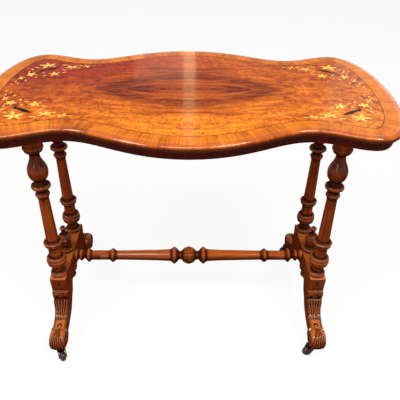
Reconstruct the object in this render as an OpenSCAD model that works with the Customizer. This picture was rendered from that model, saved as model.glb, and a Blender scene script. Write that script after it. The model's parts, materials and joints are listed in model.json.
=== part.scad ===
// Stretcher library table with a serpentine marquetry top on twin turned columns.
// Millimetres, +Z up, floor at z = 0, long axis along X, middle of the table at the origin.

/* [Top] */
// Overall length of the top
top_l = 976; // [960:1:1000]
// Overall depth of the top at its middle bulge
top_d = 572; // [560:1:600]
// Height of the top surface above the floor
table_h = 720; // [690:1:760]
// Distance of each waist from the end of the top
waist_end = 226; // [214:1:236]
// Half depth of the top at a waist
waist_y = 211; // [205:1:220]
// Distance of each shoulder from the end of the top
shoulder_end = 95; // [90:1:100]
// Half depth of the top at a shoulder
shoulder_y = 247; // [240:1:255]
// Thickness of the ground board under the veneers
ground_t = 14; // [12:0.5:18]
// Thickness of the veneers and of the inlay
veneer_t = 1; // [0.8:0.1:1.5]
// Width of the moulded edge, seen from above
lip_w = 14; // [12:0.5:18]
// Width of the cross-grained border
cross_w = 30; // [24:1:36]
// Width of the dark line beside the border
string_w = 1.5; // [1:0.1:2.5]

/* [Inlay] */
// Length of the dark leaf in the middle of a spray
spray_l = 58; // [54:1:60]
// Distance of a spray's middle from the end of the top
spray_end = 127; // [125:1:131]
// Distance of a spray's middle from the line through the shoulders
spray_in = 123; // [120:1:128]

/* [Frieze and bearers] */
// Depth of the frieze below the top
frieze_h = 22; // [18:1:26]
// Thickness of the frieze
frieze_t = 16; // [12:1:18]
// Distance of the frieze face from the edge of the top
frieze_inset = 15; // [14.5:0.5:18]
// Width of a bearer
bearer_w = 64; // [56:1:72]
// Length of a bearer
bearer_l = 300; // [280:1:320]
// Side of the glue blocks behind the frieze
block_side = 14; // [12:1:15]

/* [Columns] */
// Distance of the column axes from the end of the top
column_end = 121; // [118:1:128]
// Distance of the column axes from the middle, along the depth
column_y = 98; // [94:1:102]
// Radius of the cup under the bearer
cup_r = 25; // [23:0.5:26]
// Radius of the vase turning
vase_r = 25; // [22:0.5:26]
// Radius of the large ring below the vase
ring_r = 24.5; // [22:0.5:26]
// Radius of the shaft at its top
shaft_top_r = 13.5; // [12.5:0.5:14]
// Radius of the shaft at its foot
shaft_foot_r = 16.5; // [15:0.5:17]
// Radius of the bulb near the foot of a column
bulb_r = 27; // [25:0.5:28]
// Radius of the tenon at each end of a column
column_tenon_r = 9; // [7:0.5:10]
// Length of the tenon at each end of a column
column_tenon_l = 18; // [14:1:20]

/* [Base] */
// Height of the flat top of the base
base_z = 207; // [200:1:214]
// Thickness of the base and of the legs, along X
leg_w = 44; // [42:1:48]
// Depth of the flat top of the base, from the middle to the block face
block_y = 126; // [124:1:130]
// Half length of the centre block
centre_y = 38; // [34:1:42]
// Height of the underside of the centre block
centre_z = 149; // [144:1:152]
// Distance of the scroll toe from the middle
scroll_y = 215; // [212:1:220]
// Height of the scroll toe's axis
scroll_z = 59; // [57:1:61]
// Radius of the scroll toe
scroll_r = 28.5; // [27:0.5:29]
// Width of the scroll toe
scroll_w = 45; // [44.5:0.5:48]
// Height of the flat sole that the caster is fixed to
sole_z = 40; // [40:0.5:41]
// Radius of the dowels between the legs and the centre block
dowel_r = 5; // [4:0.5:6]
// Length of the dowels
dowel_l = 40; // [30:2:50]

/* [Stretcher, finials and pendants] */
// Height of the stretcher's axis
stretcher_z = 185.5; // [183:0.5:187]
// Radius of the ball in the middle
ball_r = 26.5; // [24:0.5:28]
// Length of the ball
ball_l = 51; // [46:1:54]
// Distance of the large rings from the middle of the stretcher
ring_1_x = 44; // [42:1:48]
// Distance of the middle rings from the centre block
ring_2_in = 115; // [105:1:125]
// Distance of the outer rings from the centre block
ring_3_in = 43; // [41:1:47]
// Radius of the stretcher beside the large rings
bar_r = 18.5; // [16:0.5:19]
// Radius of the stretcher beside the middle rings
bar_end_r = 14; // [13:0.5:15]
// Radius of the stretcher's tenons
stretcher_tenon_r = 9; // [7:0.5:10]
// Length of the stretcher's tenons
stretcher_tenon_l = 14; // [11:0.5:16]
// Height of a finial above the base
finial_h = 93; // [85:1:100]
// Radius of a finial's bulb
finial_r = 20; // [18:0.5:21.5]
// Drop of a pendant below the centre block
pendant_h = 62; // [56:1:66]
// Radius of a pendant's large bead
pendant_r = 21.5; // [18:0.5:22]
// Radius of the tenons of finials and pendants
peg_r = 5; // [4:0.5:6]
// Length of the tenons of finials and pendants
peg_l = 16; // [12:1:18]

/* [Casters] */
// Radius of a wheel
wheel_r = 15; // [14:0.5:16]
// Width of a wheel
wheel_w = 18; // [15:0.5:19]
// Distance of a wheel's axle from its swivel axis
trail = 24; // [22:1:26]
// Radius of an axle
axle_r = 2.5; // [2:0.1:3]
// Radius of a caster's pintle
pintle_r = 4; // [3:0.5:4.5]
// Length of a pintle above the plate
pintle_l = 22; // [18:1:26]
// Radius of a caster's plate
plate_r = 11; // [10.5:0.5:12]
// Thickness of a caster's plate
plate_t = 2.5; // [2:0.1:3]
// Thickness of the two cheeks of a horn
cheek_t = 2; // [1.5:0.1:2.5]
// Thickness of the crown of a horn
crown_t = 3.5; // [3:0.1:4]

/* [Fits] */
// Radial clearance of a running fit
run_gap = 0.06; // [0.03:0.01:0.1]
// Radial clearance of a glued or screwed joint
glue_gap = 0.05; // [0.02:0.01:0.1]
// Clearance between faces that turn past each other
face_gap = 0.3; // [0.2:0.05:0.5]
// Clearance at the blind end of a bored joint
end_gap = 0.5; // [0.3:0.1:1]

/* [Hidden] */
$fn = 48;
ENDS = ["left", "right"];
CORNERS = ["front_left", "front_right", "back_left", "back_right"];

// A cutter runs past a face by this much
over = 1;

half_l = top_l / 2;
half_d = top_d / 2;
waist_x = half_l - waist_end;
shoulder_x = half_l - shoulder_end;
column_x = half_l - column_end;
under_z = table_h - veneer_t - ground_t;
veneer_z = table_h - veneer_t;
bearer_t = frieze_h;
bearer_z = under_z - bearer_t;
string_inset = lip_w + cross_w;
field_inset = string_inset + string_w;

// Handles of the three curves of a quarter of the outline
bulge_out = 130;
bulge_in = 65;
wave_out = 45;
end_out_x = 60;
end_out_y = 140;
STEPS = 12;
QUARTER = 3 * STEPS;
LOOP = 4 * QUARTER;

function sx(corner) = (corner == "front_left" || corner == "back_left") ? -1 : 1;
function sy(corner) = (corner == "front_left" || corner == "front_right") ? -1 : 1;
function ex(end) = end == "left" ? -1 : 1;
function mix(a, b, t) = a + (b - a) * t;

// Point and derivative of a cubic curve with four control points
function bez(p, t) =
    pow(1 - t, 3) * p[0] + 3 * pow(1 - t, 2) * t * p[1] + 3 * (1 - t) * t * t * p[2] + t * t * t * p[3];
function bez_slope(p, t) =
    pow(1 - t, 2) * (p[1] - p[0]) + 2 * (1 - t) * t * (p[2] - p[1]) + t * t * (p[3] - p[2]);
function curve(p, n, first = 0) = [for (i = [first:n]) bez(p, i / n)];

// The quarter outline as stations: a point and its outward normal
BULGE = [[0, half_d], [bulge_out, half_d], [waist_x - bulge_in, waist_y], [waist_x, waist_y]];
WAVE = [[waist_x, waist_y], [waist_x + wave_out, waist_y],
    [shoulder_x - wave_out, shoulder_y], [shoulder_x, shoulder_y]];
END = [[shoulder_x, shoulder_y], [shoulder_x + end_out_x, shoulder_y], [half_l, end_out_y], [half_l, 0]];
function station(p, t) =
    let (d = bez_slope(p, t), n = norm(d))
    [bez(p, t), [-d[1] / n, d[0] / n]];
quarter = concat(
    [for (i = [0:STEPS]) station(BULGE, i / STEPS)],
    [for (i = [1:STEPS]) station(WAVE, i / STEPS)],
    [for (i = [1:STEPS]) station(END, i / STEPS)]
);
function flip(s, mx, my) = [[s[0][0] * mx, s[0][1] * my], [s[1][0] * mx, s[1][1] * my]];
rim = concat(
    quarter,
    [for (i = [QUARTER - 1:-1:0]) flip(quarter[i], 1, -1)],
    [for (i = [1:QUARTER]) flip(quarter[i], -1, -1)],
    [for (i = [QUARTER - 1:-1:1]) flip(quarter[i], -1, 1)]
);
function rim_at(i) = rim[(i + LOOP) % LOOP];
function inset_at(i, d) = rim_at(i)[0] - d * rim_at(i)[1];
function inset_line(d, first, last) = [for (i = [first:last]) inset_at(i, d)];
function reversed(list) = [for (i = [len(list) - 1:-1:0]) list[i]];

// First and last station of each side, from shoulder to shoulder
BACK_SHOULDER = 2 * STEPS;
FRONT_SHOULDER = 4 * STEPS;
function side_first(s) = s == "back" ? -BACK_SHOULDER
    : s == "right" ? BACK_SHOULDER
    : s == "front" ? FRONT_SHOULDER : LOOP - FRONT_SHOULDER;
function side_last(s) = s == "back" ? BACK_SHOULDER
    : s == "right" ? FRONT_SHOULDER
    : s == "front" ? LOOP - FRONT_SHOULDER : LOOP - BACK_SHOULDER;

// A flat strip that follows the outline between two insets and two stations
module strip(outer, inner, first, last, z, h) {
    translate([0, 0, z])
        linear_extrude(h)
            polygon(concat(inset_line(outer, first, last), reversed(inset_line(inner, first, last))));
}

module top_ground() {
    color("saddlebrown")
        difference() {
            translate([0, 0, under_z])
                linear_extrude(ground_t)
                    polygon(inset_line(lip_w, 0, LOOP - 1));
            bearer_screw_places() screw(glue_gap);
        }
}

module crossbanding() {
    color("sandybrown")
        for (s = ["front", "back", "left", "right"])
            strip(lip_w, string_inset, side_first(s), side_last(s), veneer_z, veneer_t);
}

module stringing() {
    color("black")
        for (s = ["front", "back", "left", "right"])
            strip(string_inset, field_inset, side_first(s), side_last(s), veneer_z, veneer_t);
}

// Quarter-matched leaf of the field, pierced for the inlay
module veneer_leaf(corner) {
    color("chocolate")
        in_corner(corner)
            translate([0, 0, veneer_z])
                linear_extrude(veneer_t)
                    difference() {
                        polygon(concat([[0, 0]], inset_line(field_inset, 0, QUARTER)));
                        boxwood_spray();
                        ebony_spray();
                    }
}

// Inlay: every leaf is the lens where two equal circles overlap.
// Places and sizes are drawn for a dark leaf of 58 and grow with it.
module petal(x, y, length, width, angle) {
    $fn = 240;
    u = spray_l / 58;
    r = u * (length * length + width * width) / (4 * width);
    translate([half_l - spray_end + u * x, shoulder_y - spray_in + u * y])
        rotate(angle)
            intersection() {
                translate([0, r - u * width / 2]) circle(r = r);
                translate([0, u * width / 2 - r]) circle(r = r);
            }
}

// A leaf or flower of petals that spring from one point
module spray(x, y, angles, length, width) {
    for (a = angles)
        petal(x + cos(a) * length * 0.42, y + sin(a) * length * 0.42, length, width, a);
}

// The spray of one corner, drawn for positive X and Y
module boxwood_spray() {
    spray(13, 27, [12, 78, 140, 196, 292], 25, 8.5);
    spray(38, -37, [35, 108, 182, 258, 325], 16, 6);
    spray(-18, -32, [8, 75, 140, 212, 290], 17, 5.5);
    spray(-52, 18, [-18, 38, 150, 205, 268], 19, 5.5);
    spray(-90, 25, [-5, 60, 178, 240], 13, 4);
    spray(57, -62, [58, 128, 244, 310], 12, 4.2);
    petal(-30, 33, 17, 4.5, -8);
    petal(-72, 30, 15, 4, 12);
    petal(-71, 12, 13, 3.6, -24);
    petal(-108, 28, 12, 3, 6);
    petal(-36, -3, 15, 4, 28);
    petal(-40, -21, 14, 3.6, -20);
    petal(10, -26, 13, 4, 40);
    petal(4, -44, 14, 4, -16);
    petal(45, -3, 15, 4.6, 58);
    petal(37, 12, 12, 4, 12);
    petal(21, -56, 13, 3.6, -52);
    petal(49, -20, 12, 3.8, 84);
    petal(42, -78, 12, 3.4, 66);
    petal(64, -84, 12, 3.4, 96);
    petal(56, -98, 10, 3, 72);
    petal(69, -104, 9, 2.8, 92);
}

module ebony_spray() {
    petal(0, 0, 58, 11, -32);
    petal(20, -11, 17, 8.5, -78);
    petal(-9, 8.5, 28, 6.5, -14);
}

module in_corner(corner) {
    mirror([sx(corner) < 0 ? 1 : 0, 0, 0])
        mirror([0, sy(corner) < 0 ? 1 : 0, 0])
            children();
}

module inlay_ebony() {
    color("black")
        for (c = CORNERS)
            in_corner(c)
                translate([0, 0, veneer_z])
                    linear_extrude(veneer_t) ebony_spray();
}

module inlay_boxwood() {
    color("khaki")
        for (c = CORNERS)
            in_corner(c)
                translate([0, 0, veneer_z])
                    linear_extrude(veneer_t)
                        difference() {
                            boxwood_spray();
                            ebony_spray();
                        }
}

// Thumb-moulded edge: a profile of [inset, height] swept along the outline
edge_h = table_h - under_z;
thumb_r = edge_h * 0.62;
THUMB = concat(
    [[lip_w, 0], [lip_w, edge_h]],
    [for (a = [90:-18:0]) [thumb_r * (1 - cos(a)), edge_h - thumb_r + thumb_r * sin(a)]],
    [for (a = [30:30:60]) [(edge_h - thumb_r) * (1 - cos(a)), (edge_h - thumb_r) * (1 - sin(a))]],
    [[edge_h - thumb_r, 0]]
);
module edge_moulding(side) {
    first = side_first(side);
    n = side_last(side) - first;
    m = len(THUMB);
    points = [for (i = [0:n], p = THUMB)
        let (s = inset_at(first + i, p[0])) [s[0], s[1], under_z + p[1]]];
    walls = [for (i = [0:n - 1], j = [0:m - 1], half = [0, 1])
        let (a = i * m + j, b = i * m + (j + 1) % m)
        half == 0 ? [a, b, a + m] : [b, b + m, a + m]];
    start = [for (j = [1:m - 2]) [0, j + 1, j]];
    stop = [for (j = [1:m - 2]) [n * m, n * m + j, n * m + j + 1]];
    color("sienna")
        polyhedron(points = points, faces = concat(walls, start, stop));
}

module frieze(side) {
    color("maroon")
        strip(frieze_inset, frieze_inset + frieze_t, side_first(side), side_last(side),
            under_z - frieze_h, frieze_h);
}

// Glue blocks rubbed into the corner behind the frieze, a few stations long
BLOCK_AT = [3, 9, 15, 21, 28, 34];
module glue_blocks() {
    color("burlywood")
        for (k = [0:3], at = BLOCK_AT) {
            first = k % 2 == 0 ? k * QUARTER + at : (k + 1) * QUARTER - at - 2;
            strip(frieze_inset + frieze_t, frieze_inset + frieze_t + block_side, first, first + 2,
                under_z - block_side, block_side);
        }
}

// Screws up through the bearers into the ground board
screw_r = 2.2;
screw_head_r = 4.2;
screw_head_h = 3;
head_sink = 2;
screw_bite = 10;
SCREW_Y = [-130, 0, 130];
module screw(extra = 0) {
    translate([0, 0, bearer_z + head_sink])
        cylinder(r = screw_head_r + extra, h = screw_head_h);
    translate([0, 0, bearer_z + head_sink])
        cylinder(r = screw_r + extra, h = bearer_t - head_sink + screw_bite);
}
module bearer_screw_places() {
    for (e = ENDS, y = SCREW_Y)
        translate([ex(e) * column_x, y, 0]) children();
}
module bearer_screws() {
    color("silver")
        bearer_screw_places() screw();
}

module bearer(end) {
    color("peru")
        difference() {
            translate([ex(end) * column_x - bearer_w / 2, -bearer_l / 2, bearer_z])
                cube([bearer_w, bearer_l, bearer_t]);
            for (y = [-column_y, column_y])
                translate([ex(end) * column_x, y, bearer_z - over])
                    cylinder(r = column_tenon_r + glue_gap, h = column_tenon_l + end_gap + over);
            bearer_screw_places() {
                screw(glue_gap);
                translate([0, 0, bearer_z - over])
                    cylinder(r = screw_head_r + glue_gap, h = head_sink + 2 * over);
            }
        }
}

// Turning profiles are lists of [radius, height]
function bead(z, h, core, r, n = 8) =
    [for (i = [0:n]) [core + (r - core) * sin(180 * i / n), z - h / 2 * cos(180 * i / n)]];
function ogee(z0, r0, z1, r1, n = 8) =
    [for (i = [0:n]) [mix(r0, r1, (1 - cos(180 * i / n)) / 2), mix(z0, z1, i / n)]];
function cove(z0, r0, z1, r1, dip, n = 6) =
    [for (i = [0:n]) [mix(r0, r1, i / n) - dip * sin(180 * i / n), mix(z0, z1, i / n)]];
function quarter_round(z0, r0, z1, r1, n = 6) =
    [for (i = [0:n]) [r0 + (r1 - r0) * sin(90 * i / n), mix(z1, z0, cos(90 * i / n))]];
function quarter_hollow(z0, r0, z1, r1, n = 6) =
    [for (i = [0:n]) [r1 + (r0 - r1) * cos(90 * i / n), mix(z0, z1, sin(90 * i / n))]];

// A shoulder that rounds over upwards, from r1 at z0 in to r0 at z1
function round_over(z0, r1, z1, r0, n = 6) =
    [for (i = [0:n]) [r0 + (r1 - r0) * cos(90 * i / n), mix(z0, z1, sin(90 * i / n))]];

// Lower turnings are measured up from the base, upper turnings down from the bearer
foot_r = 24;
COLUMN_FOOT = concat(
    [[0, -column_tenon_l], [column_tenon_r, -column_tenon_l], [column_tenon_r, 0], [foot_r - 1, 0]],
    round_over(3, foot_r, 13, 17.5, 6),
    [[15.5, 14], [15.5, 24], [16.5, 31]],
    [[18, 33], [18, 35.5]],
    quarter_round(36.5, 19, 42, bulb_r - 1.5, 4),
    [[bulb_r - 2.5, 43.3]],
    bead(51, 14, bulb_r - 2.5, bulb_r, 6),
    [[bulb_r - 1.5, 59]],
    round_over(60, bulb_r - 1.5, 67.5, 18.5, 5),
    [[17.5, 69], [16.6, 84], [16.8, 101], [18.5, 103.5]],
    bead(107.8, 7, 19.5, 23.5, 5),
    bead(116, 8.5, 19.5, 25.5, 6),
    [[18, 121.5], [shaft_foot_r, 124]]
);
COLUMN_HEAD = concat(
    [[shaft_top_r, -214], [15.5, -210], [15.5, -207.5]],
    bead(-202.5, 8.5, 15.5, 18.5, 6),
    cove(-197, 15, -187, 16.5, 2.8, 5),
    bead(-178, 12.5, 18.5, ring_r),
    [[16, -170.5], [14.5, -167], [13, -164], [13, -160]],
    quarter_round(-158, 14, -135, vase_r, 9),
    ogee(-133, vase_r, -91, 12.6, 12),
    [[12.6, -86], [14.5, -83]],
    quarter_round(-81.5, 15, -73, cup_r - 2, 5),
    bead(-69, 7, cup_r - 2, cup_r, 6),
    [[cup_r - 1.5, -63], [cup_r, -14], [cup_r, 0]],
    [[column_tenon_r, 0], [column_tenon_r, column_tenon_l], [0, column_tenon_l]]
);
function lift(list, z) = [for (p = list) [p[0], p[1] + z]];
column_profile = concat(lift(COLUMN_FOOT, base_z), lift(COLUMN_HEAD, bearer_z));

module column(corner) {
    color("saddlebrown")
        translate([sx(corner) * column_x, sy(corner) * column_y, 0])
            rotate_extrude()
                polygon(column_profile);
}

// Side profile of a leg as [distance from the middle, height]
block_h = 46;
LEG_SIDE = concat(
    [[centre_y, base_z], [block_y - 2, base_z], [block_y, base_z - 2]],
    [[block_y - 3, base_z - block_h], [block_y + 3, base_z - block_h - 2]],
    [[block_y + 4, base_z - block_h - 14], [block_y + 1, base_z - block_h - 31]],
    [[block_y + 6, base_z - block_h - 34]],
    curve([[block_y + 8, base_z - block_h - 38], [block_y + 18, scroll_z + 38],
        [block_y + 34, scroll_z + 26], [scroll_y - 20, scroll_z + 21]], 8),
    [[scroll_y, scroll_z + 10], [scroll_y, sole_z]],
    [[scroll_y - 14, sole_z]],
    curve([[scroll_y - 24, sole_z + 8], [scroll_y - 50, scroll_z - 6],
        [block_y - 12, scroll_z], [90, 91]], 8),
    curve([[90, 91], [77, 113], [73, centre_z], [56, centre_z]], 6, 1),
    [[centre_y, centre_z]]
);

module leg_solid() {
    translate([leg_w / 2, 0, 0])
        rotate([90, 0, -90])
            mirror([1, 0, 0])
                linear_extrude(leg_w)
                    polygon(LEG_SIDE);
}

// Scroll toe with a rolled edge, a turned groove and an eye on each cheek
eye_r = 8;
module scroll_toe() {
    translate([0, scroll_y, scroll_z])
        rotate([0, 90, 0])
            rotate_extrude()
                polygon([
                    [0, -scroll_w / 2], [eye_r - 2, -scroll_w / 2], [eye_r, 2 - scroll_w / 2],
                    [eye_r + 2, 2.5 - scroll_w / 2], [scroll_r - 11, 1 - scroll_w / 2],
                    [scroll_r - 7, 2 - scroll_w / 2], [scroll_r - 3.5, 5 - scroll_w / 2],
                    [scroll_r - 1, 10 - scroll_w / 2], [scroll_r, 17 - scroll_w / 2],
                    [scroll_r, scroll_w / 2 - 17], [scroll_r - 1, scroll_w / 2 - 10],
                    [scroll_r - 3.5, scroll_w / 2 - 5], [scroll_r - 7, scroll_w / 2 - 2],
                    [scroll_r - 11, scroll_w / 2 - 1], [eye_r + 2, scroll_w / 2 - 2.5],
                    [eye_r, scroll_w / 2 - 2], [eye_r - 2, scroll_w / 2], [0, scroll_w / 2]
                ]);
}

DOWEL_Z = [centre_z + 14, base_z - 14];
module dowel_places() {
    for (z = DOWEL_Z)
        translate([0, centre_y, z]) rotate([-90, 0, 0]) children();
}

module leg(corner) {
    color("sienna")
        in_corner(corner)
            translate([column_x, 0, 0])
                difference() {
                    union() {
                        leg_solid();
                        scroll_toe();
                    }
                    translate([-scroll_w, scroll_y - 2 * scroll_r, sole_z - 2 * scroll_r])
                        cube([2 * scroll_w, 4 * scroll_r, 2 * scroll_r]);
                    translate([0, column_y, base_z - column_tenon_l - end_gap])
                        cylinder(r = column_tenon_r + glue_gap, h = column_tenon_l + end_gap + over);
                    dowel_places()
                        translate([0, 0, -over])
                            cylinder(r = dowel_r + glue_gap, h = dowel_l / 2 + end_gap + over);
                    translate([0, scroll_y, sole_z - over])
                        cylinder(r = pintle_r + run_gap, h = pintle_l + 2 * over);
                    plate_screw_places() plate_screw(glue_gap);
                }
}

module leg_dowels() {
    color("wheat")
        for (c = CORNERS)
            in_corner(c)
                translate([column_x, 0, 0])
                    dowel_places()
                        translate([0, 0, -dowel_l / 2]) cylinder(r = dowel_r, h = dowel_l);
}

module centre_block(end) {
    color("sienna")
        difference() {
            translate([ex(end) * column_x - leg_w / 2, -centre_y, centre_z])
                cube([leg_w, 2 * centre_y, base_z - centre_z]);
            for (c = CORNERS)
                in_corner(c)
                    translate([column_x, 0, 0])
                        dowel_places()
                            translate([0, 0, -dowel_l / 2 - end_gap])
                                cylinder(r = dowel_r + glue_gap, h = dowel_l / 2 + end_gap + over);
            translate([ex(end) * (column_x - leg_w / 2), 0, stretcher_z])
                rotate([0, 90 * ex(end), 0])
                    translate([0, 0, -over])
                        cylinder(r = stretcher_tenon_r + glue_gap, h = stretcher_tenon_l + end_gap + over);
            translate([ex(end) * column_x, 0, base_z - peg_l - end_gap])
                cylinder(r = peg_r + glue_gap, h = peg_l + end_gap + over);
            translate([ex(end) * column_x, 0, centre_z - over])
                cylinder(r = peg_r + glue_gap, h = peg_l + end_gap + over);
        }
}

FINIAL = concat(
    [[0, -peg_l], [peg_r, -peg_l], [peg_r, 0], [finial_r, 0]],
    bead(6.5, 11, finial_r - 2, finial_r + 1.5, 6),
    [[16, 13]],
    cove(13.5, 15, 19, 11.5, 1.5, 3),
    [[13, 20], [13, 22]],
    quarter_round(23, 12, 42, finial_r - 1.5, 7),
    bead(45.5, 6, finial_r - 1.5, finial_r, 4),
    round_over(49, finial_r - 1.5, 64, 6.5, 7),
    [[5.5, 66], [5, 70], [6.5, 72]],
    ogee(73, 6.5, 82, 9.5, 5),
    ogee(83.5, 9.5, finial_h, 2, 6),
    [[0, finial_h]]
);
module finial(end) {
    color("saddlebrown")
        translate([ex(end) * column_x, 0, base_z])
            rotate_extrude()
                polygon(FINIAL);
}

PENDANT = concat(
    [[0, peg_l], [peg_r, peg_l], [peg_r, 0], [15, 0]],
    reversed(bead(-11, 20, 15, pendant_r)),
    [[12, -22.5]],
    [for (i = [0:5]) [12 - 4 * sin(180 * i / 5), -23 - 8 * i / 5]],
    reversed(bead(-40, 16, 9, 15)),
    [for (i = [0:5]) [mix(9, 2, (1 - cos(180 * i / 5)) / 2), mix(-49, -pendant_h, i / 5)]],
    [[0, -pendant_h]]
);
module pendant(end) {
    color("saddlebrown")
        translate([ex(end) * column_x, 0, centre_z])
            rotate_extrude()
                polygon(PENDANT);
}

// Half of the stretcher, from the middle of the ball out to its tenon
stretcher_face = column_x - leg_w / 2;
ring_2_x = stretcher_face - ring_2_in;
ring_3_x = stretcher_face - ring_3_in;
function ring(x, w, core, r) = concat(
    [[core, x - w / 2], [core + 1.5, x - w / 2 + 1.5]],
    bead(x, w * 0.55, core + 2.5, r, 6),
    [[core + 1.5, x + w / 2 - 1.5], [core, x + w / 2]]
);
STRETCHER_HALF = concat(
    [[ball_r + 0.8, 0], [ball_r + 0.8, 1.6], [ball_r - 0.6, 2.2]],
    [for (a = [8:10:58]) [ball_r * cos(a) - (a % 20 == 8 ? 0 : 0.5), ball_l / 2 * sin(a)]],
    [[13, ball_l / 2 + 1], [13, ball_l / 2 + 4]],
    ring(ring_1_x, 19, 19.5, 26.2),
    [[bar_r, ring_1_x + 11], [mix(bar_r, bar_end_r, 0.5), ring_1_x + 50]],
    [[bar_end_r, ring_2_x - 10]],
    ring(ring_2_x, 17, 15.5, 21.5),
    [[14.5, ring_2_x + 10], [14.5, ring_3_x - 9]],
    ring(ring_3_x, 14, 15.5, 21),
    cove(ring_3_x + 8, 14, ring_3_x + 18, 14, 4),
    bead(ring_3_x + 23, 8, 14, 17, 6),
    [[12, ring_3_x + 28], [12, ring_3_x + 31], [17, stretcher_face - 8], [17, stretcher_face]],
    [[stretcher_tenon_r, stretcher_face], [stretcher_tenon_r, stretcher_face + stretcher_tenon_l]]
);
module stretcher() {
    far = stretcher_face + stretcher_tenon_l;
    color("peru")
        translate([0, 0, stretcher_z])
            rotate([0, 90, 0])
                rotate_extrude()
                    polygon(concat(
                        [[0, -far]],
                        [for (p = reversed(STRETCHER_HALF)) if (p[1] > 0) [p[0], -p[1]]],
                        STRETCHER_HALF,
                        [[0, far]]
                    ));
}

// Casters: each turns about its pintle and stands as it was left
plate_z = sole_z - plate_t;
crown_z = plate_z - face_gap - crown_t;
function turn_of(corner) = corner == "front_left" ? -65
    : corner == "front_right" ? 194
    : corner == "back_left" ? 150 : 180;
module at_caster(corner) {
    translate([sx(corner) * column_x, sy(corner) * scroll_y, 0])
        rotate([0, 0, turn_of(corner)])
            children();
}

plate_screw_r = 1.2;
plate_screw_ring = plate_r - 3.2;
plate_screw_l = 12;
module plate_screw_places() {
    for (a = [30, 150, 270])
        translate([plate_screw_ring * cos(a), scroll_y + plate_screw_ring * sin(a), 0])
            children();
}
module plate_screw(extra = 0) {
    translate([0, 0, plate_z])
        cylinder(r = plate_screw_r + extra, h = plate_screw_l);
}
module caster_screws() {
    color("goldenrod")
        for (c = CORNERS)
            in_corner(c)
                translate([column_x, 0, 0])
                    plate_screw_places() plate_screw();
}

module caster_plate(corner) {
    color("goldenrod")
        in_corner(corner)
            translate([column_x, 0, 0])
                difference() {
                    translate([0, scroll_y, plate_z])
                        cylinder(r = plate_r, h = plate_t);
                    translate([0, scroll_y, plate_z - over])
                        cylinder(r = pintle_r + run_gap, h = plate_t + 2 * over);
                    plate_screw_places()
                        translate([0, 0, -1]) plate_screw(glue_gap);
                }
}

// Horn: pintle, round crown, an arm back over the wheel and two cheeks
cheek_gap = 0.5;
cheek_in = wheel_w / 2 + cheek_gap;
module caster_horn(corner) {
    color("goldenrod")
        at_caster(corner)
            difference() {
                union() {
                    translate([0, 0, crown_z])
                        cylinder(r = pintle_r, h = sole_z - crown_z + pintle_l);
                    translate([0, 0, crown_z])
                        cylinder(r = plate_r - 1, h = crown_t);
                    translate([0, -cheek_in - cheek_t, crown_z])
                        cube([trail, 2 * (cheek_in + cheek_t), crown_t]);
                    for (y = [-cheek_in - cheek_t, cheek_in])
                        translate([trail, y + cheek_t, wheel_r])
                            rotate([90, 0, 0])
                                linear_extrude(cheek_t)
                                    union() {
                                        circle(r = axle_r + 3);
                                        polygon([[-axle_r - 3, 0], [-trail + 6, crown_z - wheel_r + 0.1],
                                            [0, crown_z - wheel_r + 0.1], [axle_r + 3, 0]]);
                                    }
                }
                translate([trail, cheek_in + cheek_t + 1, wheel_r])
                    rotate([90, 0, 0])
                        cylinder(r = axle_r + glue_gap, h = 2 * (cheek_in + cheek_t + 1));
            }
}

module caster_axle(corner) {
    color("silver")
        at_caster(corner)
            translate([trail, cheek_in + cheek_t, wheel_r])
                rotate([90, 0, 0])
                    cylinder(r = axle_r, h = 2 * (cheek_in + cheek_t));
}

module caster_wheel(corner) {
    bore = axle_r + run_gap;
    color("darkslategray")
        at_caster(corner)
            translate([trail, 0, wheel_r])
                rotate([90, 0, 0])
                    rotate_extrude()
                        polygon(concat(
                            [[bore, -wheel_w / 2], [bore + 3, -wheel_w / 2], [wheel_r - 6, -wheel_w / 2 + 1]],
                            [for (a = [-75:15:75])
                                [wheel_r - 6 + 6 * cos(a), (wheel_w / 2 - 1.5) * sin(a) / sin(75)]],
                            [[wheel_r - 6, wheel_w / 2 - 1], [bore + 3, wheel_w / 2], [bore, wheel_w / 2]]
                        ));
}

top_ground();
crossbanding();
stringing();
inlay_boxwood();
inlay_ebony();
glue_blocks();
bearer_screws();
stretcher();
leg_dowels();
caster_screws();
for (s = ["front", "back", "left", "right"]) {
    edge_moulding(s);
    frieze(s);
}
for (e = ENDS) {
    bearer(e);
    centre_block(e);
    finial(e);
    pendant(e);
}
for (c = CORNERS) {
    veneer_leaf(c);
    column(c);
    leg(c);
    caster_plate(c);
    caster_horn(c);
    caster_axle(c);
    caster_wheel(c);
}
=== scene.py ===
import json
import math
import bpy
import numpy as np
from mathutils import Matrix, Vector

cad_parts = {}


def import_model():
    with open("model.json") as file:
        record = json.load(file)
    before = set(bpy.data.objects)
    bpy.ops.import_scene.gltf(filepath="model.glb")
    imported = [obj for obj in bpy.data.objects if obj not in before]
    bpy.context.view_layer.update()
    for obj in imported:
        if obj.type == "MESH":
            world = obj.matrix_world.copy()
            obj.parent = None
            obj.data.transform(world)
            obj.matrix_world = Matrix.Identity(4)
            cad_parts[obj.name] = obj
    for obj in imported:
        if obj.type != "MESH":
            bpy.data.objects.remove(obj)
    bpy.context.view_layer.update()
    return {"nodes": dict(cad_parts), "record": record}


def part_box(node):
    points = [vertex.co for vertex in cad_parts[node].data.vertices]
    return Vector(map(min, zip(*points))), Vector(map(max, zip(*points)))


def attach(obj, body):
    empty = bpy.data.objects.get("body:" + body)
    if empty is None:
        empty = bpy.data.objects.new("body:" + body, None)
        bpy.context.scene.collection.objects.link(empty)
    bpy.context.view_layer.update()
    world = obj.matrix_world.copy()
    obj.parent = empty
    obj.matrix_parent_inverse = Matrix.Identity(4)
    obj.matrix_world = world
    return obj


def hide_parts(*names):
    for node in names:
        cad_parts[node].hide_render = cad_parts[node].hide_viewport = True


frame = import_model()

nodes = frame["nodes"]
slot_of = {part["node"]: part["material_slot"] for part in frame["record"]["subparts"]}

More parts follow.
